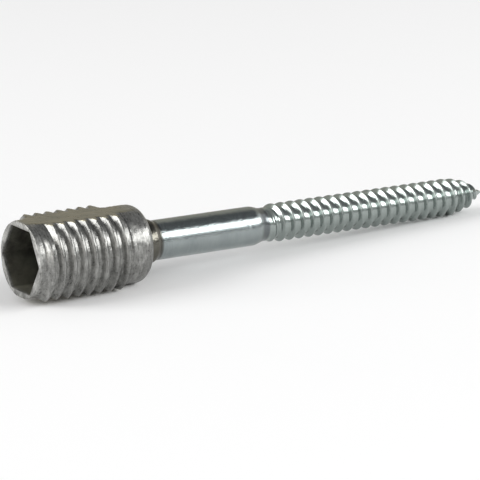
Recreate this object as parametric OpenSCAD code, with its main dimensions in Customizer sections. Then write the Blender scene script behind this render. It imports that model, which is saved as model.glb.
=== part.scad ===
// Adjustable frame screw: a cast sleeve with an outside thread turns on the head end of a wood screw.
// Both pieces are drawn along one axis, from the sleeve's mouth to the screw's tip, and then laid down as they rest.

/* [Sleeve] */
// Length of the sleeve, from its mouth to its bottom
sleeve_l = 25.2; // [23:0.1:40]
// Diameter over the crests of the sleeve's thread
sleeve_thread_d = 17.6; // [16.4:0.1:19]
// Diameter at the root of the sleeve's thread
sleeve_root_d = 14.7; // [14.4:0.1:15.2]
// Diameter of the plain rim at the mouth
rim_d = 14.9; // [14.6:0.1:15.4]
// Chamfer on the outer edge of the rim
rim_chamfer = 0.2; // [0.05:0.05:0.5]
// Distance from the mouth to the start of the sleeve's thread
sleeve_thread_start = 1.4; // [0.6:0.1:3]
// Length of the sleeve's thread
sleeve_thread_l = 18.6; // [10:0.1:19]
// Width of the flat on the crests of the sleeve's thread
sleeve_crest_w = 0.2; // [0.1:0.05:0.5]
// Width of the flat at the root of the sleeve's thread
sleeve_groove_w = 0.65; // [0.3:0.05:0.9]
// Diameter of the plain end behind the thread
plain_d = 15.2; // [14.8:0.1:16.4]
// Length of the rounded edge at the bottom
shoulder_l = 1.4; // [0.4:0.1:2]
// Drop of the rounded edge in radius
shoulder_drop = 1; // [0.4:0.1:2]
// Width across the two flats that the casting joint leaves through the thread
flats_w = 14.5; // [14.1:0.1:14.7]
// Length over which each flat rises to the plain end
flat_runout = 4.2; // [1:0.1:4.4]
// Depth of the same flats in the plain end, which give the part its rest
plain_flat_depth = 0.2; // [0.1:0.05:0.4]

/* [Socket] */
// Width across the flats of the hexagon socket
socket_w = 12; // [9:0.1:12.2]
// Depth of the socket, from the mouth to its floor
socket_l = 20.5; // [16:0.1:21]
// Amount by which the corners of the socket are blunted
socket_blunt = 0.08; // [0.02:0.01:0.3]

/* [Screw head] */
// Thickness of the head on the socket's floor
head_h = 6; // [5.6:0.1:8]
// Clearance round the head in the socket
head_clearance = 0.25; // [0.1:0.05:0.6]
// Chamfer on the head's edge
head_chamfer = 0.4; // [0.1:0.05:0.8]
// Width across the flats of the hexagon recess in the head
drive_w = 8; // [5:0.1:8.4]
// Depth of the hexagon recess in the head
drive_l = 4.6; // [2:0.1:4.8]

/* [Shank] */
// Diameter of the plain shank
shank_d = 7.8; // [7:0.1:8.4]
// Length of the plain shank, between the collar and the neck
shank_l = 21.1; // [5:0.1:80]
// Diameter of the collar outside the sleeve's bottom
collar_d = 8.7; // [8.4:0.1:9.2]
// Length of the collar's round part
collar_l = 1.8; // [0.5:0.1:3]
// Chamfer on the collar's edge beside the sleeve
collar_chamfer = 0.2; // [0.05:0.05:0.3]
// Length of the blend from the collar to the shank
collar_blend_l = 3.2; // [0.4:0.1:4]
// Length of the blend from the shank to the neck
blend_l = 3; // [1:0.1:6]
// Diameter of the neck in front of the wood thread
neck_d = 6.6; // [6.2:0.1:6.9]
// Length of the neck
neck_l = 0.5; // [0.3:0.1:3]

/* [Wood thread] */
// Diameter over the crests of the wood thread
thread_d = 7.7; // [7.1:0.1:8.4]
// Diameter at the root of the wood thread
root_d = 6; // [5:0.1:6.1]
// Length of the wood thread, with its point
thread_l = 54.4; // [30:0.1:120]
// Length over which the wood thread grows to its full height
run_in = 3.4; // [2:0.1:8]
// Length of the tapered point
point_l = 8.3; // [6:0.1:14]
// Length of the steeper end of the point
point_end_l = 4; // [2:0.1:5]
// Diameter over the crests where the point gets steeper
point_end_d = 5.7; // [4:0.1:6.6]
// Radius left at the very tip
tip_r = 0.15; // [0.1:0.05:0.4]
// Width of the flat on the crests of the wood thread
crest_w = 0.2; // [0.1:0.05:0.4]
// Width of the flat at the root of the wood thread
groove_w = 1.1; // [0.5:0.05:1.3]

/* [Both threads and the fit] */
// Pitch of both threads, equal so that the sleeve and the screw go in together
pitch = 2.35; // [2:0.05:3]
// Clearance round the shank in the sleeve's bottom
running_clearance = 0.05; // [0.02:0.01:0.1]
// Clearance at the head and at the collar, along the axis
end_float = 0.15; // [0.05:0.05:0.4]

/* [Hidden] */
$fn = 96;

// Turning angles of the two threads, measured from the underside
sleeve_thread_turn = 80;
thread_turn = 310;
// Columns of points round each thread
sleeve_sides = 36;
sides = 24;
// How far a buried thread end stays under the surface that covers it
skin = 0.03;
// Length over which the sleeve's thread starts and ends
sleeve_run = 0.4 * pitch;
// Overlap that carries a cut past the face it opens
past = 1;

// Places along the axis, from the mouth
sleeve_thread_end = sleeve_thread_start + sleeve_thread_l;
shoulder_at = sleeve_l - shoulder_l;
head_at = socket_l - end_float - head_h;
collar_at = sleeve_l + end_float;
shank_at = collar_at + collar_l + collar_blend_l;
blend_at = shank_at + shank_l;
neck_at = blend_at + blend_l;
thread_at = neck_at + neck_l;
tip_at = thread_at + thread_l;
point_at = tip_at - point_l;

// Sizes that follow from the fit
head_d = socket_w - 2 * head_clearance;
bore_d = shank_d + 2 * running_clearance;

// The part rests on the end of its lower flat and on the last full crest of the wood thread
plain_level = plain_d / 2 - plain_flat_depth;
flat_end = shoulder_at + shoulder_l * sin(acos(1 - plain_flat_depth / shoulder_drop));
rest_tilt = atan((plain_level - thread_d / 2) / (point_at - flat_end));
mouth_height = flat_end * sin(rest_tilt) + plain_level * cos(rest_tilt);
mid_x = (tip_at * cos(rest_tilt) - flats_w / 2 * sin(rest_tilt)) / 2;

// Turns the axis from upright to the pose that the part rests in
module lay_down() {
    translate([-mid_x, 0, mouth_height])
        rotate([0, rest_tilt, 0])
            rotate([0, 90, 0])
                children();
}

// Points of a quarter ellipse that falls from a wall of radius r to an end face
function shoulder_arc(r, at, l, drop, steps) = [
    for (i = [0:steps])
        let (a = 90 * i / steps)
            [r - drop * (1 - cos(a)), at + l * sin(a)]
];

// Points of a smooth change of radius along the axis, level at both ends
function blend_curve(r0, r1, at, l, steps) = [
    for (i = [0:steps])
        let (s = i / steps)
            [r1 + (r0 - r1) * (1 + cos(180 * s)) / 2, at + l * s]
];

// Rod with a one-start right-hand thread. The root and crest tables give radius by place along the axis.
// Four rows of points per turn follow the section: root, crest, crest, root. Each row winds on by one pitch a turn.
module threaded_rod(root, crest, crest_flat, groove_flat, turn, columns) {
    from = root[0][0];
    to = root[len(root) - 1][0];
    flank = (pitch - crest_flat - groove_flat) / 2;
    edges = [-crest_flat / 2 - flank, -crest_flat / 2, crest_flat / 2, crest_flat / 2 + flank];
    lead = pitch * turn / 360;
    first_turn = ceil((from - lead - edges[0]) / pitch + 0.05);
    last_turn = floor((to - lead - edges[3]) / pitch - 1.05);
    turns = last_turn - first_turn + 1;
    rows = 4 * turns;
    function place(row, column) =
        lead + edges[row % 4] + pitch * (first_turn + floor(row / 4) + column / columns);
    function radius(row, z) = lookup(z, row % 4 == 0 || row % 4 == 3 ? root : crest);
    points = [
        for (row = [0:rows - 1])
            for (column = [0:columns - 1])
                let (z = place(row, column), r = radius(row, z), a = 360 * column / columns)
                    [r * cos(a), r * sin(a), z]
    ];
    // A column past the last one is the first column of the next turn
    function index(row, column) = column < columns ? row * columns + column : (row + 4) * columns;
    walls = [
        for (row = [0:rows - 2])
            for (column = [0:columns - 1])
                if (column < columns - 1 || row + 5 < rows)
                    each [
                        [index(row, column), index(row + 1, column), index(row + 1, column + 1)],
                        [index(row, column), index(row + 1, column + 1), index(row, column + 1)]
                    ]
    ];
    start_loop = concat(
        [for (column = [0:columns - 1]) index(0, column)],
        [for (row = [4:-1:1]) index(row, 0)]
    );
    end_loop = concat(
        [for (column = [0:columns - 1]) index(rows - 1, column)],
        [for (row = [rows - 2:-1:rows - 5]) index(row, columns - 1)]
    );
    start_point = rows * columns;
    end_point = start_point + 1;
    loop_l = columns + 4;
    start_cap = [
        for (i = [0:loop_l - 1]) [start_point, start_loop[i], start_loop[(i + 1) % loop_l]]
    ];
    end_cap = [
        for (i = [0:loop_l - 1]) [end_point, end_loop[(i + 1) % loop_l], end_loop[i]]
    ];
    polyhedron(
        points = concat(points, [[0, 0, from], [0, 0, to]]),
        faces = concat(walls, start_cap, end_cap),
        convexity = 10
    );
}

// Hexagon socket with its flats above and below, its corners blunted by a circle
module socket_shape(width, blunt) {
    corner_r = width / 2 / cos(30);
    intersection() {
        rotate(30)
            circle(r = corner_r, $fn = 6);
        circle(r = corner_r - blunt);
    }
}

// Thread of the sleeve, which starts inside the rim and ends inside the plain end
module sleeve_thread() {
    root_r = sleeve_root_d / 2;
    crest_r = sleeve_thread_d / 2;
    from = sleeve_thread_start - 2 * pitch;
    to = sleeve_thread_end + 2 * pitch;
    threaded_rod(
        root = [[from, root_r], [to, root_r]],
        crest = [
            [sleeve_thread_start, root_r],
            [sleeve_thread_start + sleeve_run, crest_r],
            [sleeve_thread_end - sleeve_run, crest_r],
            [sleeve_thread_end, root_r]
        ],
        crest_flat = sleeve_crest_w,
        groove_flat = sleeve_groove_w,
        turn = sleeve_thread_turn,
        columns = sleeve_sides
    );
}

// Cuts that leave the two flats: level along the thread, then rising a little to the plain end
module flat_cuts() {
    level = flats_w / 2;
    outside = sleeve_thread_d;
    outline = [
        [-past, level],
        [sleeve_thread_end, level],
        [sleeve_thread_end + flat_runout, plain_level],
        [sleeve_l + past, plain_level],
        [sleeve_l + past, outside],
        [-past, outside]
    ];
    for (side = [0, 180])
        rotate([0, 0, side])
            translate([0, sleeve_thread_d, 0])
                rotate([90, 0, 0])
                    linear_extrude(2 * sleeve_thread_d)
                        polygon([for (p = outline) [p[1], p[0]]]);
}

// Cast sleeve: threaded outside, with a hexagon socket and a bored bottom
module sleeve() {
    rim_r = rim_d / 2;
    plain_r = plain_d / 2;
    rim = [
        [0, 0],
        [rim_r - rim_chamfer, 0],
        [rim_r, rim_chamfer],
        [rim_r, sleeve_thread_start],
        [0, sleeve_thread_start]
    ];
    plain_end = concat(
        [[0, sleeve_thread_end], [plain_r, sleeve_thread_end]],
        shoulder_arc(plain_r, shoulder_at, shoulder_l, shoulder_drop, 12),
        [[0, sleeve_l]]
    );
    color([0.56, 0.56, 0.54])
        lay_down()
            difference() {
                union() {
                    intersection() {
                        sleeve_thread();
                        cylinder(d = 2 * sleeve_thread_d, h = sleeve_l - shoulder_l);
                    }
                    rotate_extrude()
                        polygon(rim);
                    rotate_extrude()
                        polygon(plain_end);
                }
                flat_cuts();
                translate([0, 0, -past])
                    linear_extrude(socket_l + past)
                        socket_shape(socket_w, socket_blunt);
                cylinder(d = bore_d, h = sleeve_l + past);
            }
}

// Wood thread with its gimlet point, which starts inside the neck
module wood_thread() {
    start_r = neck_d / 2 - skin;
    from = thread_at - 2 * pitch;
    threaded_rod(
        root = [
            [from, start_r],
            [thread_at, start_r],
            [thread_at + run_in, root_d / 2],
            [point_at, root_d / 2],
            [tip_at - point_end_l, (point_end_d - thread_d + root_d) / 2],
            [tip_at, tip_r]
        ],
        crest = [
            [from, start_r],
            [thread_at, start_r],
            [thread_at + run_in, thread_d / 2],
            [point_at, thread_d / 2],
            [tip_at - point_end_l, point_end_d / 2],
            [tip_at, 2 * tip_r]
        ],
        crest_flat = crest_w,
        groove_flat = groove_w,
        turn = thread_turn,
        columns = sides
    );
}

// Steel screw: head, shank through the sleeve's bottom, collar outside it, neck and wood thread
module screw() {
    head_r = head_d / 2;
    shank_r = shank_d / 2;
    collar_r = collar_d / 2;
    neck_r = neck_d / 2;
    turned = concat(
        [
            [0, head_at],
            [head_r - head_chamfer, head_at],
            [head_r, head_at + head_chamfer],
            [head_r, head_at + head_h],
            [shank_r, head_at + head_h],
            [shank_r, collar_at],
            [collar_r - collar_chamfer, collar_at],
            [collar_r, collar_at + collar_chamfer]
        ],
        blend_curve(collar_r, shank_r, collar_at + collar_l, collar_blend_l, 8),
        blend_curve(shank_r, neck_r, blend_at, blend_l, 10),
        [[neck_r, thread_at], [0, thread_at]]
    );
    color([0.74, 0.77, 0.79])
        lay_down()
            difference() {
                union() {
                    rotate_extrude()
                        polygon(turned);
                    wood_thread();
                }
                translate([0, 0, head_at - past])
                    linear_extrude(drive_l + past)
                        socket_shape(drive_w, socket_blunt);
            }
}

sleeve();
screw();
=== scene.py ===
import math

import bpy
import numpy as np
from mathutils import Matrix, Vector


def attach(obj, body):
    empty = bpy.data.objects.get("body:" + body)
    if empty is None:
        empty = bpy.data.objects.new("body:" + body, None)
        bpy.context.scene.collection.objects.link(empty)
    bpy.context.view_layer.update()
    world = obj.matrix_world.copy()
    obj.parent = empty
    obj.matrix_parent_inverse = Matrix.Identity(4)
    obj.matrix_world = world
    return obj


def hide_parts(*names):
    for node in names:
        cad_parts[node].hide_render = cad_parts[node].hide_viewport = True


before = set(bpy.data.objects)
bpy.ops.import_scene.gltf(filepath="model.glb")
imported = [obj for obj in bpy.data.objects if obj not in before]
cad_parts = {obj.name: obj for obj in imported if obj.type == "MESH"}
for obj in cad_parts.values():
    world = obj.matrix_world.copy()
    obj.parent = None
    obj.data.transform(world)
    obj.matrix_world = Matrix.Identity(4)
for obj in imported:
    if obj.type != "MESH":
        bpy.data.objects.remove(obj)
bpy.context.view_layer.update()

# Sizes in millimetres. Places are measured along the axis from the sleeve's mouth.
MM = 0.001
FULL_TURN = 2 * math.pi
PITCH = 2.35
EDGE_BREAK = 0.06
CORNER_BLUNT = 0.08
HEXAGON_COS = math.cos(math.radians(30))

# Sleeve, from its mouth to its bottom. The run-in of its thread is given as counts of turns.
SLEEVE_L = 25.2
RIM_R = 7.45
RIM_CHAMFER = 0.2
RIM_END = 1.2
SLEEVE_CREST_R = 8.8
SLEEVE_ROOT_R = 7.85
SLEEVE_THREAD_FROM = 1.4
SLEEVE_THREAD_TO = 20.0
SLEEVE_THREAD_END_R = 7.5
SLEEVE_THREAD_TURN = 80
SLEEVE_RUN = 0.4 * PITCH
SLEEVE_RUN_IN = (0.585, 0.69)
RELIEF_AT = 20.1
RELIEF_R = 7.48
PLAIN_AT = 20.3
PLAIN_R = 7.6
PLAIN_ROWS_FROM = 20.8
PLAIN_ROWS_TO = 23.4
SHOULDER_AT = 23.8
SHOULDER_DROP = 1.0
FLAT_LEVEL = 7.25
PLAIN_FLAT_LEVEL = 7.4
FLAT_RUNOUT = 4.2
LEAST_COSINE = 0.1
BORE_R = 3.95
BORE_CHAMFER = 0.1
SOCKET_HALF_W = 6.0
SOCKET_CORNER_R = SOCKET_HALF_W / HEXAGON_COS - CORNER_BLUNT
SOCKET_L = 20.5
# Rows of the socket from its floor to the mouth: place and widening
SOCKET_ROWS = (
    (SOCKET_L, 0), (12.0, 0), (4.0, 0), (0.35, 0), (0.12, 0.04), (0.0, 0.14),
)

# Screw, from its head to its tip
HEAD_AT = 14.35
HEAD_END = 20.35
HEAD_R = 5.75
HEAD_CHAMFER = 0.4
DRIVE_HALF_W = 4.0
DRIVE_CORNER_R = DRIVE_HALF_W / HEXAGON_COS - CORNER_BLUNT
DRIVE_FLOOR_AT = 18.95
DRIVE_FLOOR_RING_R = 2.0
DRIVE_CHAMFER_L = 0.2
DRIVE_CHAMFER_W = 0.1
COLLAR_AT = 25.35
COLLAR_R = 4.35
COLLAR_L = 2.4
COLLAR_FALL = 1.5
COLLAR_CHAMFER = 0.2
SHANK_R = 3.9
SHANK_ROWS_FROM = 30.85
SHANK_ROWS_TO = 50.95
BLEND_AT = 51.45
NECK_AT = 54.45
NECK_R = 3.3
THREAD_AT = 54.95
THREAD_R = 3.85
ROOT_R = 3.0
RUN_IN = 1.9
THREAD_TURN = 310
POINT_AT = 101.05
POINT_END_AT = 105.35
POINT_END_R = 2.85
TIP_AT = 109.35
TIP_R = 0.15
TIP_ROUND = 0.03

# Sections of the two threads and the fineness of the skins
SLEEVE_SECTION = {"crest_w": 0.34, "groove_w": 0.6, "roundness": 0.32, "rows": 24}
WOOD_SECTION = {"crest_w": 0.2, "groove_w": 1.1, "roundness": 0.55, "rows": 16}
SLEEVE_COLUMNS = 240
SCREW_COLUMNS = 144
PLAIN_ROWS = 9
SHOULDER_ROWS = 20
SHANK_ROWS = 24
BLEND_ROWS = 14
SHARP_DEG = 32

# Waves of the casting's uneven skin: height, waves per turn, waves per millimetre and phase
CAST_WAVES = (
    (0.020, 3, 0.11, 0.4),
    (0.016, 7, -0.23, 1.9),
    (0.014, 11, 0.37, 3.1),
    (0.012, 17, -0.61, 0.8),
    (0.010, 23, 0.83, 5.2),
)
UNEVEN_FROM_R = SOCKET_CORNER_R + 0.2
UNEVEN_BLEND = 0.3

# The part rests on the end of its lower flat and on the last full crest of the wood thread
FLAT_END = SHOULDER_AT + (SLEEVE_L - SHOULDER_AT) * math.sin(
    math.acos(1 - (PLAIN_R - PLAIN_FLAT_LEVEL) / SHOULDER_DROP)
)
REST_TILT = math.atan((PLAIN_FLAT_LEVEL - THREAD_R) / (POINT_AT - FLAT_END))
TILT_COS = math.cos(REST_TILT)
TILT_SIN = math.sin(REST_TILT)
MOUTH_HEIGHT = FLAT_END * TILT_SIN + PLAIN_FLAT_LEVEL * TILT_COS
MID_X = (TIP_AT * TILT_COS - FLAT_LEVEL * TILT_SIN) / 2


def lay_down(along, side, up):
    """Turns points given along the axis, to the far side and up from the axis into the frame's
    metres: a turn by the rest tilt about the side axis, then a shift to the resting place."""
    x = along * TILT_COS + up * TILT_SIN - MID_X
    z = up * TILT_COS - along * TILT_SIN + MOUTH_HEIGHT
    return np.stack(np.broadcast_arrays(x, side, z), axis=-1) * MM


# Shapes: bands of rows round the axis, each with places, radii and the rows that one turn winds on


def even_turn(columns):
    """Angles of a number of columns, evenly round a full turn from the underside."""
    return np.arange(columns) * FULL_TURN / columns


def round_band(outline, around):
    """Rows square to the axis: each (place, radius) of an outline is carried round a full turn."""
    outline = np.asarray(outline, float)
    along = np.repeat(outline[:, :1], len(around), axis=1)
    radius = np.repeat(outline[:, 1:], len(around), axis=1)
    return along, radius, 0


def hexagon_band(rows, half_width, corner_r, around):
    """Rows square to the axis that follow a hexagon with a flat on the underside, for each (place,
    widening). The radius is the half width over the cosine of the angle from the nearest flat's
    middle, held to the blunted corner's radius."""
    rows = np.asarray(rows, float)
    along = np.repeat(rows[:, :1], len(around), axis=1)
    widening = rows[:, 1:]
    from_flat = np.mod(around + FULL_TURN / 12, FULL_TURN / 6) - FULL_TURN / 12
    radius = np.minimum((half_width + widening) / np.cos(from_flat), corner_r + widening)
    return along, radius, 0


def thread_section(crest_w, groove_w, roundness, rows):
    """One pitch of a thread from groove to groove: offsets from the crest and heights from 0 to 1.
    On a flank the height falls as a straight line, mixed by the roundness with half a cosine
    wave."""
    flank = (PITCH - crest_w - groove_w) / 2
    offsets = np.linspace(-0.5, 0.5, rows, endpoint=False) * PITCH
    down = np.clip((np.abs(offsets) - crest_w / 2) / flank, 0, 1)
    wave = (1 + np.cos(math.pi * down)) / 2
    return offsets, (1 - down) * (1 - roundness) + wave * roundness


def helix_band(around, start, end, turn, section, root, crest, run_in=None):
    """Rows that wind on by one pitch a turn, trimmed square at both ends: a row lies at
    lead + whole pitches + its offset + pitch * angle / full turn, held between start and end.
    Its radius is root + (crest - root) * height, with root and crest read by place from tables.
    A run-in gives two counts of turns, between which the height grows from nothing to full."""
    offsets, height = section
    lead = PITCH * turn / 360
    first = math.floor((start - lead) / PITCH - 0.5)
    last = math.ceil((end - lead) / PITCH + 0.5)
    turns = np.arange(first, last + 1)
    base = (lead + turns[:, None] * PITCH + offsets[None, :]).ravel()
    rise = np.tile(height, len(turns))[:, None]
    if run_in:
        count = np.repeat(turns, len(offsets))[:, None] + around[None, :] / FULL_TURN
        rise = rise * np.clip((count - run_in[0]) / (run_in[1] - run_in[0]), 0, 1)
    along = np.clip(base[:, None] + PITCH * around[None, :] / FULL_TURN, start, end)
    low = np.interp(along, *zip(*root))
    high = np.interp(along, *zip(*crest))
    return along, low + (high - low) * rise, len(offsets)


def ellipse_fall(r, at, length, drop, steps):
    """Outline of a quarter ellipse from a wall of radius r to an end face."""
    a = np.linspace(0, FULL_TURN / 4, steps)
    return np.stack([at + length * np.sin(a), r - drop * (1 - np.cos(a))], axis=1)


def level_blend(r0, r1, at, length, steps):
    """Outline of a change of radius that is level at both ends: half a cosine wave."""
    s = np.linspace(0, 1, steps)
    return np.stack([at + length * s, r1 + (r0 - r1) * (1 + np.cos(math.pi * s)) / 2], axis=1)


def plain_wall(r, start, end, steps):
    """Outline of a straight wall of radius r in even steps."""
    return np.stack([np.linspace(start, end, steps), np.full(steps, r)], axis=1)


def closed_skin(bands, around, loop):
    """Joins bands of rows into one closed skin and gives its points by place, angle and radius,
    and its triangles. Rows that meet in a column share a point, a row of no radius is one point,
    and the last column joins the first, one turn on where rows wind. A loop joins the last row to
    the first."""
    along = np.vstack([b[0] for b in bands])
    radius = np.vstack([b[1] for b in bands])
    sizes = [len(b[0]) for b in bands]
    starts = np.cumsum([0] + sizes[:-1])
    partner = np.concatenate([
        at + np.minimum(np.arange(size) + band[2], size - 1)
        for band, at, size in zip(bands, starts, sizes)
    ])
    rows, columns = along.shape
    is_new = np.ones((rows, columns), bool)
    is_new[1:] = (along[1:] != along[:-1]) | (radius[1:] != radius[:-1])
    first_row = np.maximum.accumulate(np.where(is_new, np.arange(rows)[:, None], 0), axis=0)
    number = first_row * columns + np.where(radius == 0, 0, np.arange(columns))
    number = np.hstack([number, number[partner, :1]])
    if loop:
        number = np.vstack([number, number[:1]])
    corners = [number[:-1, :-1], number[:-1, 1:], number[1:, 1:], number[1:, :-1]]
    a, b, c, d = [corner.ravel() for corner in corners]
    triangles = np.concatenate([np.stack([a, b, c], axis=1), np.stack([a, c, d], axis=1)])
    whole = (
        (triangles[:, 0] != triangles[:, 1])
        & (triangles[:, 1] != triangles[:, 2])
        & (triangles[:, 2] != triangles[:, 0])
    )
    used, triangles = np.unique(triangles[whole], return_inverse=True)
    angle = np.broadcast_to(around, (rows, columns))
    points = [grid.ravel()[used] for grid in (along, angle, radius)]
    return points, triangles.reshape(-1, 3)


def cast_unevenness(along, around):
    """Height of the casting's uneven skin: a sum of sine waves, a whole number round the sleeve."""
    return sum(
        height * np.sin(per_turn * around + FULL_TURN * per_mm * along + phase)
        for height, per_turn, per_mm, phase in CAST_WAVES
    )


def sleeve_skin():
    """Skin of the sleeve as one loop of rows: rim, thread, plain end with a rounded shoulder, bore,
    socket floor and hexagon walls. Flats on the underside and on top trim every radius to
    level / |cosine of the angle|, and the casting's unevenness is taken off the outside."""
    around = even_turn(SLEEVE_COLUMNS)
    rim = round_band([
        [0.0, RIM_R - RIM_CHAMFER],
        [EDGE_BREAK, RIM_R - EDGE_BREAK],
        [RIM_CHAMFER, RIM_R],
        [RIM_END, RIM_R],
    ], around)
    root = [
        [SLEEVE_THREAD_FROM, RIM_R],
        [SLEEVE_THREAD_FROM + PITCH, SLEEVE_ROOT_R],
        [SLEEVE_THREAD_TO - PITCH, SLEEVE_ROOT_R],
        [SLEEVE_THREAD_TO, SLEEVE_THREAD_END_R],
    ]
    crest = [
        [SLEEVE_THREAD_FROM, RIM_R],
        [SLEEVE_THREAD_FROM + SLEEVE_RUN, SLEEVE_CREST_R],
        [SLEEVE_THREAD_TO - SLEEVE_RUN, SLEEVE_CREST_R],
        [SLEEVE_THREAD_TO, SLEEVE_THREAD_END_R],
    ]
    thread = helix_band(
        around, SLEEVE_THREAD_FROM, SLEEVE_THREAD_TO, SLEEVE_THREAD_TURN,
        thread_section(**SLEEVE_SECTION), root, crest, SLEEVE_RUN_IN,
    )
    plain = round_band(np.concatenate([
        [[RELIEF_AT, RELIEF_R], [PLAIN_AT, PLAIN_R]],
        plain_wall(PLAIN_R, PLAIN_ROWS_FROM, PLAIN_ROWS_TO, PLAIN_ROWS),
        ellipse_fall(PLAIN_R, SHOULDER_AT, SLEEVE_L - SHOULDER_AT, SHOULDER_DROP, SHOULDER_ROWS),
    ]), around)
    bore = round_band([
        [SLEEVE_L, BORE_R + BORE_CHAMFER],
        [SLEEVE_L - BORE_CHAMFER, BORE_R],
        [SOCKET_L, BORE_R],
    ], around)
    socket = hexagon_band(SOCKET_ROWS, SOCKET_HALF_W, SOCKET_CORNER_R, around)
    (along, angle, radius), triangles = closed_skin(
        [rim, thread, plain, bore, socket], around, loop=True
    )
    level = np.interp(
        along,
        [SLEEVE_THREAD_TO, SLEEVE_THREAD_TO + FLAT_RUNOUT],
        [FLAT_LEVEL, PLAIN_FLAT_LEVEL],
    )
    radius = np.minimum(radius, level / np.maximum(np.abs(np.cos(angle)), LEAST_COSINE))
    outside = np.clip((radius - UNEVEN_FROM_R) / UNEVEN_BLEND, 0, 1)
    radius = radius - outside * np.abs(cast_unevenness(along, angle))
    return lay_down(along, radius * np.sin(angle), -radius * np.cos(angle)), triangles


def screw_skin():
    """Skin of the screw from the floor of its head's recess to the tip: hexagon recess, head, shank
    in the sleeve's bottom, collar, shank, neck and the wood thread with its point."""
    around = even_turn(SCREW_COLUMNS)
    recess_floor = round_band(
        [[DRIVE_FLOOR_AT, 0.0], [DRIVE_FLOOR_AT, DRIVE_FLOOR_RING_R]], around
    )
    recess = hexagon_band([
        [DRIVE_FLOOR_AT, 0],
        [HEAD_AT + DRIVE_CHAMFER_L, 0],
        [HEAD_AT, DRIVE_CHAMFER_W],
    ], DRIVE_HALF_W, DRIVE_CORNER_R, around)
    turned = round_band(np.concatenate([
        [
            [HEAD_AT, HEAD_R - HEAD_CHAMFER],
            [HEAD_AT + HEAD_CHAMFER, HEAD_R],
            [HEAD_END, HEAD_R],
            [HEAD_END, SHANK_R],
            [COLLAR_AT, SHANK_R],
            [COLLAR_AT, COLLAR_R - COLLAR_CHAMFER],
            [COLLAR_AT + EDGE_BREAK, COLLAR_R - EDGE_BREAK],
            [COLLAR_AT + COLLAR_CHAMFER, COLLAR_R],
        ],
        level_blend(COLLAR_R, SHANK_R, COLLAR_AT + COLLAR_L, COLLAR_FALL, BLEND_ROWS),
        plain_wall(SHANK_R, SHANK_ROWS_FROM, SHANK_ROWS_TO, SHANK_ROWS),
        level_blend(SHANK_R, NECK_R, BLEND_AT, NECK_AT - BLEND_AT, BLEND_ROWS),
    ]), around)
    root = [
        [THREAD_AT, NECK_R],
        [THREAD_AT + RUN_IN, ROOT_R],
        [POINT_AT, ROOT_R],
        [POINT_END_AT, POINT_END_R - THREAD_R + ROOT_R],
        [TIP_AT - TIP_ROUND, TIP_R],
    ]
    crest = [
        [THREAD_AT, NECK_R],
        [THREAD_AT + RUN_IN, THREAD_R],
        [POINT_AT, THREAD_R],
        [POINT_END_AT, POINT_END_R],
        [TIP_AT - TIP_ROUND, TIP_R],
    ]
    thread = helix_band(
        around, THREAD_AT, TIP_AT - TIP_ROUND, THREAD_TURN,
        thread_section(**WOOD_SECTION), root, crest,
    )
    tip = round_band([[TIP_AT, 0.0]], around)
    (along, angle, radius), triangles = closed_skin(
        [recess_floor, recess, turned, thread, tip], around, loop=False
    )
    return lay_down(along, radius * np.sin(angle), -radius * np.cos(angle)), triangles


# Finishes


class Wire:
    """An output of a shader node that can be used in sums: each operator adds one Math node."""

    def __init__(self, finish, socket):
        self.finish = finish
        self.socket = socket

    def math(self, operation, *values):
        return self.finish.node(
            "ShaderNodeMath", {"operation": operation}, dict(enumerate(values))
        )

    def __add__(self, other):
        return self.math("ADD", self, other)

    def __rsub__(self, other):
        return self.math("SUBTRACT", other, self)

    def __mul__(self, other):
        return self.math("MULTIPLY", self, other)

    __radd__ = __add__
    __rmul__ = __mul__

    def power(self, exponent):
        return self.math("POWER", self, exponent)

    def larger(self, other):
        return self.math("MAXIMUM", self, other)

    def step(self, low, high):
        """Rises smoothly from 0 at low to 1 at high."""
        return self.finish.node(
            "ShaderNodeMapRange",
            {"interpolation_type": "SMOOTHSTEP", "clamp": True},
            {"Value": self, "From Min": low, "From Max": high},
        )

    def between(self, rise, fall):
        """Rises from 0 to 1 over the first two values and falls back over the other two."""
        return self.step(*rise) * (1 - self.step(*fall))


# Sockets of a Mix node that are used for colours
MIX_MASK, MIX_FIRST, MIX_SECOND, MIX_RESULT = 0, 6, 7, 2


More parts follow.
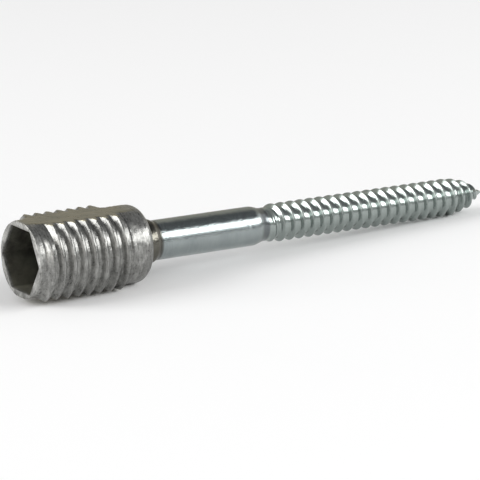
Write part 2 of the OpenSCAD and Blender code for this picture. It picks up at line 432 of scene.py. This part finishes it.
class Finish:
    """A node tree that is filled by one method, with the coordinates of the part's own axis."""

    def __init__(self, tree):
        self.tree = tree
        tree.nodes.clear()

    def node(self, kind, settings=None, sockets=None, output=0):
        """Adds a node of a kind: its settings are set first, then its sockets are given values or
        links."""
        made = self.tree.nodes.new(kind)
        for key, value in (settings or {}).items():
            if key == "stops":
                ramp = made.color_ramp
                while len(ramp.elements) < len(value):
                    ramp.elements.new(0.5)
                for element, (position, color) in zip(ramp.elements, value):
                    element.position = position
                    element.color = (*color, 1)
            else:
                setattr(made, key, value)
        for key, value in (sockets or {}).items():
            socket = made.inputs[key]
            if isinstance(value, Wire):
                self.tree.links.new(value.socket, socket)
            else:
                socket.default_value = value
        return Wire(self, made.outputs[output]) if made.outputs else made

    def axis_place(self):
        """Metres along the axis from the mouth, to the side and up from the axis."""
        place = self.node("ShaderNodeTexCoord", output="Object")
        shift = tuple(lay_down(0.0, 0.0, 0.0))
        moved = self.node(
            "ShaderNodeVectorMath", {"operation": "SUBTRACT"}, {0: place, 1: shift}
        )
        return self.node(
            "ShaderNodeMapping", None, {"Vector": moved, "Rotation": (0, -REST_TILT, 0)}
        )

    def split(self, vector):
        """The three parts of a vector."""
        parts = self.node("ShaderNodeSeparateXYZ", None, {"Vector": vector}).socket.node
        return [Wire(self, out) for out in parts.outputs]

    def stretched(self, vector, scale):
        """A vector with each part times its own scale, for a pattern drawn out one way."""
        return self.node(
            "ShaderNodeVectorMath", {"operation": "MULTIPLY"}, {0: vector, 1: scale}
        )

    def noise(self, vector, scale, detail, roughness):
        """Cloudy pattern from 0 to 1."""
        return self.node("ShaderNodeTexNoise", None, {
            "Vector": vector, "Scale": scale, "Detail": detail, "Roughness": roughness,
        })

    def ramp(self, value, stops):
        """Colour read from stops by a value."""
        return self.node("ShaderNodeValToRGB", {"stops": stops}, {"Fac": value})

    def mixed(self, mask, first, second):
        """Colour that goes from the first to the second with a mask."""
        return self.node(
            "ShaderNodeMix", {"data_type": "RGBA"},
            {MIX_MASK: mask, MIX_FIRST: first, MIX_SECOND: second}, MIX_RESULT,
        )

    def metal(self, color, roughness, metallic, height, depth):
        """Metal surface with a bump: height from 0 to 1 over a depth in metres."""
        normal = self.node(
            "ShaderNodeBump", None, {"Height": height, "Strength": 1.0, "Distance": depth}
        )
        surface = self.node("ShaderNodeBsdfPrincipled", None, {
            "Base Color": color, "Roughness": roughness, "Metallic": metallic, "Normal": normal,
        })
        self.node("ShaderNodeOutputMaterial", None, {"Surface": surface})


def new_finish(name):
    material = bpy.data.materials.new(name)
    material.use_nodes = True
    return material, Finish(material.node_tree)


def mm(*lengths):
    """Lengths given in millimetres, in metres."""
    return [length * MM for length in lengths]


# Colours of the zinc and the steel: stops by the pattern's value, or one colour
ZINC_GREYS = (
    (0.38, (0.13, 0.13, 0.125)), (0.50, (0.225, 0.225, 0.215)), (0.62, (0.37, 0.37, 0.355)),
)
# Brownish colour of the flats: a painted reflection of the olive backdrop, streaked along the flats
FLAT_PAINTED_REFLECTION = ((0.35, (0.17, 0.165, 0.115)), (0.65, (0.31, 0.275, 0.185)))
# Painted shade: dark colours of the walls inside the hexagon socket
SOCKET_PAINTED_SHADE = ((0.35, (0.09, 0.085, 0.075)), (0.65, (0.20, 0.20, 0.165)))
RIM_GREYS = ((0.42, (0.16, 0.16, 0.15)), (0.60, (0.55, 0.55, 0.53)))
# Painted light: a lighter brown-green pool on the socket's lower wall near the mouth
SOCKET_PAINTED_LIGHT = (0.34, 0.33, 0.26, 1)
STEEL_BLUES = ((0.35, (0.275, 0.31, 0.312)), (0.65, (0.345, 0.38, 0.38)))
THREAD_GREEN = (0.33, 0.37, 0.345, 1)
# Collar colour: partly a brownish tint, partly painted shade that darkens it
COLLAR_BROWN_AND_SHADE = (0.115, 0.105, 0.085, 1)
# Painted shade: a dark ring in the hollow fillet from the collar to the shank
FILLET_PAINTED_SHADE = (0.06, 0.055, 0.045, 1)
# Painted shade: dark colour on the hollow neck between the shank and the wood thread
NECK_PAINTED_SHADE = (0.11, 0.12, 0.13, 1)

# Where a colour sets in or ends, over a stretch in millimetres: along the axis, or as named
# Height at which the painted reflection on the flats sets in, and where it ends along the axis
FLAT_REFLECTION_LEVEL = (7.08, 7.2)
FLAT_REFLECTION_END = (20, 25)
# Where the painted shade inside the socket sets in and ends
SOCKET_SHADE_R = (6.95, 7.15)
SOCKET_SHADE_START = (0.1, 0.8)
SOCKET_SHADE_END = (24.6, 25.05)
# Where the painted pool of light in the socket ends, and how far below the axis it sets in
PAINTED_LIGHT_END = (3, 9)
PAINTED_LIGHT_BELOW_AXIS = (0.5, 4)
RIM_WEAR_END = (0.1, 0.7)
RIM_WEAR_GRAIN = 0.5
THREAD_TINT_START = (51, 54)
# Collar colour, a brownish tint with painted shade, from the sleeve's bottom to the collar's end
COLLAR_TINT_AND_SHADE_START, COLLAR_TINT_AND_SHADE_END = (24.6, 25.2), (28.7, 29.3)
# Where the ring of painted shade in the collar's fillet sets in and ends
FILLET_SHADE_START, FILLET_SHADE_END = (28.4, 28.7), (29.2, 29.6)
# Where the painted shade on the neck sets in and ends
NECK_SHADE_START, NECK_SHADE_END = (52.0, 53.2), (54.2, 54.7)

# How much of a colour is laid on, how metallic the zinc is, and the depth of each bump in metres
# The first weight lays on the painted reflection on the flats, the second the real wear on the rim
FLAT_REFLECTION, RIM_WEAR = 0.8, 0.7
# Weights: thread tint; collar tint with painted shade; painted shade in the collar's fillet and on
# the neck
THREAD_TINT, COLLAR_TINT_AND_SHADE, FILLET_SHADE, NECK_SHADE = 0.6, 0.9, 0.7, 0.8
ZINC_METALLIC = 0.75
ZINC_BUMP, STEEL_BUMP = 0.00006, 0.00008


def cast_zinc():
    """Dull die-cast zinc: mottled grey, streaked round the sleeve, with a painted reflection on the
    flats, painted shade in the socket and a painted pool of light low at its mouth, and worn on
    the rim."""
    material, finish = new_finish("cast_zinc")
    place = finish.axis_place()
    along, side, up = finish.split(place)
    radius = (side * side + up * up).power(0.5)
    mottle = finish.noise(place, scale=420, detail=4, roughness=0.6)
    grain = finish.noise(place, scale=2600, detail=3, roughness=0.6)
    round_sleeve = finish.stretched(place, (6.0, 1.0, 1.0))
    streaks = finish.noise(round_sleeve, scale=520, detail=3, roughness=0.6)
    along_flat = finish.stretched(place, (0.5, 3.0, 3.0))
    drawn = finish.noise(along_flat, scale=420, detail=3, roughness=0.6)
    skin = mottle * 0.35 + grain * 0.25 + streaks * 0.4

    flat_from, flat_to = mm(*FLAT_REFLECTION_LEVEL)
    on_flat = (up * up).step(flat_from**2, flat_to**2) * (1 - along.step(*mm(*FLAT_REFLECTION_END)))
    # Mask of the socket's inside, whose walls are painted dark as shade; it also makes them rougher
    shaded_socket = (1 - radius.step(*mm(*SOCKET_SHADE_R))) * along.between(
        mm(*SOCKET_SHADE_START), mm(*SOCKET_SHADE_END)
    )
    near_mouth = 1 - along.step(*mm(*PAINTED_LIGHT_END))
    # Painted pool of light on the socket's lower wall near the mouth, mottled
    painted_light_patch = shaded_socket * near_mouth * (0 - up).step(*mm(*PAINTED_LIGHT_BELOW_AXIS)) * mottle
    wear_from, wear_to = mm(*RIM_WEAR_END)
    on_rim = 1 - along.step(wear_from, wear_to + RIM_WEAR_GRAIN * MM * grain)

    color = finish.ramp(skin, ZINC_GREYS)
    # Painted reflection of the olive backdrop on the top and bottom flats
    color = finish.mixed(on_flat * FLAT_REFLECTION, color, finish.ramp(drawn, FLAT_PAINTED_REFLECTION))
    # Painted shade on the socket walls
    color = finish.mixed(shaded_socket, color, finish.ramp(mottle, SOCKET_PAINTED_SHADE))
    # Lays on the painted pool of light
    color = finish.mixed(painted_light_patch, color, SOCKET_PAINTED_LIGHT)
    color = finish.mixed(on_rim * RIM_WEAR, color, finish.ramp(skin, RIM_GREYS))
    roughness = 0.16 + 0.26 * skin + 0.22 * shaded_socket + 0.14 * on_rim
    height = grain * 0.5 + streaks * 0.3 + mottle * 0.2
    finish.metal(color, roughness, ZINC_METALLIC, height, ZINC_BUMP)
    return material


def plated_steel():
    """Bright bluish zinc plating on steel: fine marks round the shank, a brownish collar darkened
    with painted shade, a ring of painted shade in the fillet at its end, painted shade on the neck
    and a slightly greener, less metallic thread."""
    material, finish = new_finish("plated_steel")
    place = finish.axis_place()
    along = finish.split(place)[0]
    cloud = finish.noise(place, scale=260, detail=3, roughness=0.5)
    grain = finish.noise(place, scale=3200, detail=2, roughness=0.5)
    round_shank = finish.stretched(place, (9.0, 1.0, 1.0))
    marks = finish.noise(round_shank, scale=420, detail=3, roughness=0.6)

    on_thread = along.step(*mm(*THREAD_TINT_START))
    on_collar = along.between(mm(*COLLAR_TINT_AND_SHADE_START), mm(*COLLAR_TINT_AND_SHADE_END))
    # Ring of painted shade in the hollow fillet at the collar's end
    fillet_shade = along.between(mm(*FILLET_SHADE_START), mm(*FILLET_SHADE_END))
    # Band of painted shade round the hollow neck
    neck_shade = along.between(mm(*NECK_SHADE_START), mm(*NECK_SHADE_END))

    color = finish.ramp(cloud * 0.6 + marks * 0.4, STEEL_BLUES)
    color = finish.mixed(on_thread * THREAD_TINT, color, THREAD_GREEN)
    # Brownish tint of the collar, darkened as painted shade
    color = finish.mixed(on_collar * COLLAR_TINT_AND_SHADE, color, COLLAR_BROWN_AND_SHADE)
    # Lays on the painted shade in the fillet
    color = finish.mixed(fillet_shade * FILLET_SHADE, color, FILLET_PAINTED_SHADE)
    # Lays on the painted shade on the neck
    color = finish.mixed(neck_shade * NECK_SHADE, color, NECK_PAINTED_SHADE)
    roughness = 0.10 + 0.12 * marks + 0.04 * on_collar + 0.03 * on_thread
    metallic = 0.95 - 0.17 * on_thread
    height = (marks * 0.35 + grain * 0.65) * (1 - 0.7 * on_thread)
    finish.metal(color, roughness, metallic, height, STEEL_BUMP)
    return material


# Pieces


def add_mesh(name, points, faces):
    """Puts points and faces into a mesh object at the origin."""
    mesh = bpy.data.meshes.new(name)
    mesh.from_pydata(np.asarray(points).tolist(), [], np.asarray(faces).tolist())
    made = bpy.data.objects.new(name, mesh)
    bpy.context.scene.collection.objects.link(made)
    return made


def make_piece(name, skin, material):
    """A piece of the part from its points and triangles, smooth but for edges past an angle."""
    piece = add_mesh(name, *skin)
    mesh = piece.data
    mesh.polygons.foreach_set("use_smooth", np.ones(len(mesh.polygons), bool))
    mesh.set_sharp_from_angle(angle=math.radians(SHARP_DEG))
    mesh.update()
    mesh.materials.append(material)
    return piece


sleeve = make_piece("sleeve_casting", sleeve_skin(), cast_zinc())
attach(sleeve, "sleeve")
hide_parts("sleeve")

screw = make_piece("wood_screw", screw_skin(), plated_steel())
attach(screw, "screw")
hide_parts("screw")


# Studio in metres: pale floor, soft light and cards that the metal reflects

FLOOR_HALF = 0.9
FLOOR_WHITE = (0.95, 0.95, 0.95, 1)
CEILING_Z = 1.25
CEILING_NEAR = 1.5
CEILING_FAR = 0.8
CEILING_COLOR, CEILING_STRENGTH = (0.9, 0.95, 1.0), 0.13
WALL_R = 2.0
WALL_FOOT_Z = 0.02
WALL_PANELS = 12
PLAIN_LEVEL = 0.43

# Lamps: name, direction from the part, distance, width, height and radiance
LAMPS = (
    ("front_softbox", (0.57, -0.667, 0.48), 1.3, 1.3, 0.5, 6.6),
    ("side_softbox", (-0.87, 0.28, 0.40), 1.3, 0.8, 0.8, 6.2),
)

# Walls: name, from and to in degrees from the frame's +X, height, colour and strength
WALLS = (
    ("olive_backdrop", 12, 144, 2.4, (1.0, 0.96, 0.84), 0.45),
    ("pale_side_wall", 144, 208, 0.7, (1.0, 0.98, 0.95), 2.2),
    ("grey_side_wall", 208, 265, 1.6, (1.0, 0.96, 0.90), 0.45),
    ("grey_front_wall", 265, 342, 1.6, (0.95, 1.0, 0.98), 0.36),
)


def level_sheet(name, half_x, near, far, z):
    """A level rectangle at a height, from near on the -Y side to far on the +Y side."""
    corners = [(-half_x, -near, z), (half_x, -near, z), (half_x, far, z), (-half_x, far, z)]
    return add_mesh(name, corners, [(0, 1, 2, 3)])


def make_floor():
    """Pale floor at the height that the part rests on."""
    floor = level_sheet("floor", FLOOR_HALF, FLOOR_HALF, FLOOR_HALF, 0.0)
    material, finish = new_finish("pale_floor")
    surface = finish.node("ShaderNodeBsdfDiffuse", None, {"Color": FLOOR_WHITE})
    finish.node("ShaderNodeOutputMaterial", None, {"Surface": surface})
    floor.data.materials.append(material)


def make_card(card, color, strength):
    """Makes a mesh a glowing card that is shown only in reflections."""
    material, finish = new_finish(card.name)
    glow = finish.node("ShaderNodeEmission", None, {"Color": (*color, 1), "Strength": strength})
    finish.node("ShaderNodeOutputMaterial", None, {"Surface": glow})
    card.data.materials.append(material)
    card.visible_camera = False
    card.visible_diffuse = False
    card.visible_shadow = False
    card.visible_transmission = False


def curved_wall(name, from_deg, to_deg, height):
    """Upright panels on a circle round the part, between two directions."""
    turn = np.radians(np.linspace(from_deg, to_deg, WALL_PANELS + 1))
    foot_z = np.full(len(turn), WALL_FOOT_Z)
    foot = np.stack([WALL_R * np.cos(turn), WALL_R * np.sin(turn), foot_z], axis=1)
    low = np.arange(WALL_PANELS)
    high = low + len(turn)
    faces = np.stack([low, low + 1, high + 1, high], axis=1)
    return add_mesh(name, np.concatenate([foot, foot + (0, 0, height)]), faces)


def make_lamp(name, toward, distance, width, height, radiance):
    """A soft lamp of a width and height that shines on the part from a direction. Its power is
    radiance * pi * width * height."""
    light = bpy.data.lights.new(name, "AREA")
    light.shape = "RECTANGLE"
    light.size = width
    light.size_y = height
    light.energy = radiance * math.pi * width * height
    lamp = bpy.data.objects.new(name, light)
    bpy.context.scene.collection.objects.link(lamp)
    toward = Vector(toward).normalized()
    lamp.location = toward * distance
    lamp.rotation_euler = toward.to_track_quat("Z", "Y").to_euler()


def light_world():
    """White surroundings: full strength where the camera and reflections look, a plain level
    elsewhere."""
    world = bpy.data.worlds.new("white_surroundings")
    bpy.context.scene.world = world
    world.use_nodes = True
    finish = Finish(world.node_tree)
    rays = finish.node("ShaderNodeLightPath").socket.node.outputs
    camera, glossy, through = [
        Wire(finish, rays[kind])
        for kind in ("Is Camera Ray", "Is Glossy Ray", "Is Transmission Ray")
    ]
    looked_at = camera.larger(glossy).larger(through)
    strength = PLAIN_LEVEL + (1 - PLAIN_LEVEL) * looked_at
    glow = finish.node("ShaderNodeBackground", None, {"Color": (1, 1, 1, 1), "Strength": strength})
    finish.node("ShaderNodeOutputWorld", None, {"Surface": glow})


make_floor()
for lamp_row in LAMPS:
    make_lamp(*lamp_row)
ceiling = level_sheet("dark_ceiling", CEILING_NEAR, CEILING_NEAR, CEILING_FAR, CEILING_Z)
make_card(ceiling, CEILING_COLOR, CEILING_STRENGTH)
for wall_name, wall_from, wall_to, wall_height, wall_color, wall_strength in WALLS:
    wall = curved_wall(wall_name, wall_from, wall_to, wall_height)
    make_card(wall, wall_color, wall_strength)
light_world()


# Camera at the photo's view: place in millimetres and directions, given along the part's own axis
CAMERA_AT = (-264.97, -463.58, 141.77)
CAMERA_FORWARD = (0.54370, 0.80135, -0.24946)
CAMERA_UP = (0.12484, 0.21671, 0.96822)
CAMERA_LENS = 221.2
SENSOR_W = 36


def place_camera():
    """Puts the camera at its place, looking forward with its own up direction."""
    data = bpy.data.cameras.new("photo_view")
    data.sensor_fit = "HORIZONTAL"
    data.sensor_width = SENSOR_W
    data.lens = CAMERA_LENS
    camera = bpy.data.objects.new("photo_view", data)
    bpy.context.scene.collection.objects.link(camera)
    mouth = lay_down(0.0, 0.0, 0.0)
    back = -Vector((lay_down(*CAMERA_FORWARD) - mouth) / MM).normalized()
    right = Vector((lay_down(*CAMERA_UP) - mouth) / MM).cross(back).normalized()
    up = back.cross(right)
    turn = Matrix((right, up, back)).transposed().to_4x4()
    camera.matrix_world = Matrix.Translation(Vector(lay_down(*CAMERA_AT))) @ turn
    bpy.context.scene.camera = camera


place_camera()
bpy.context.scene.view_settings.view_transform = "Standard"
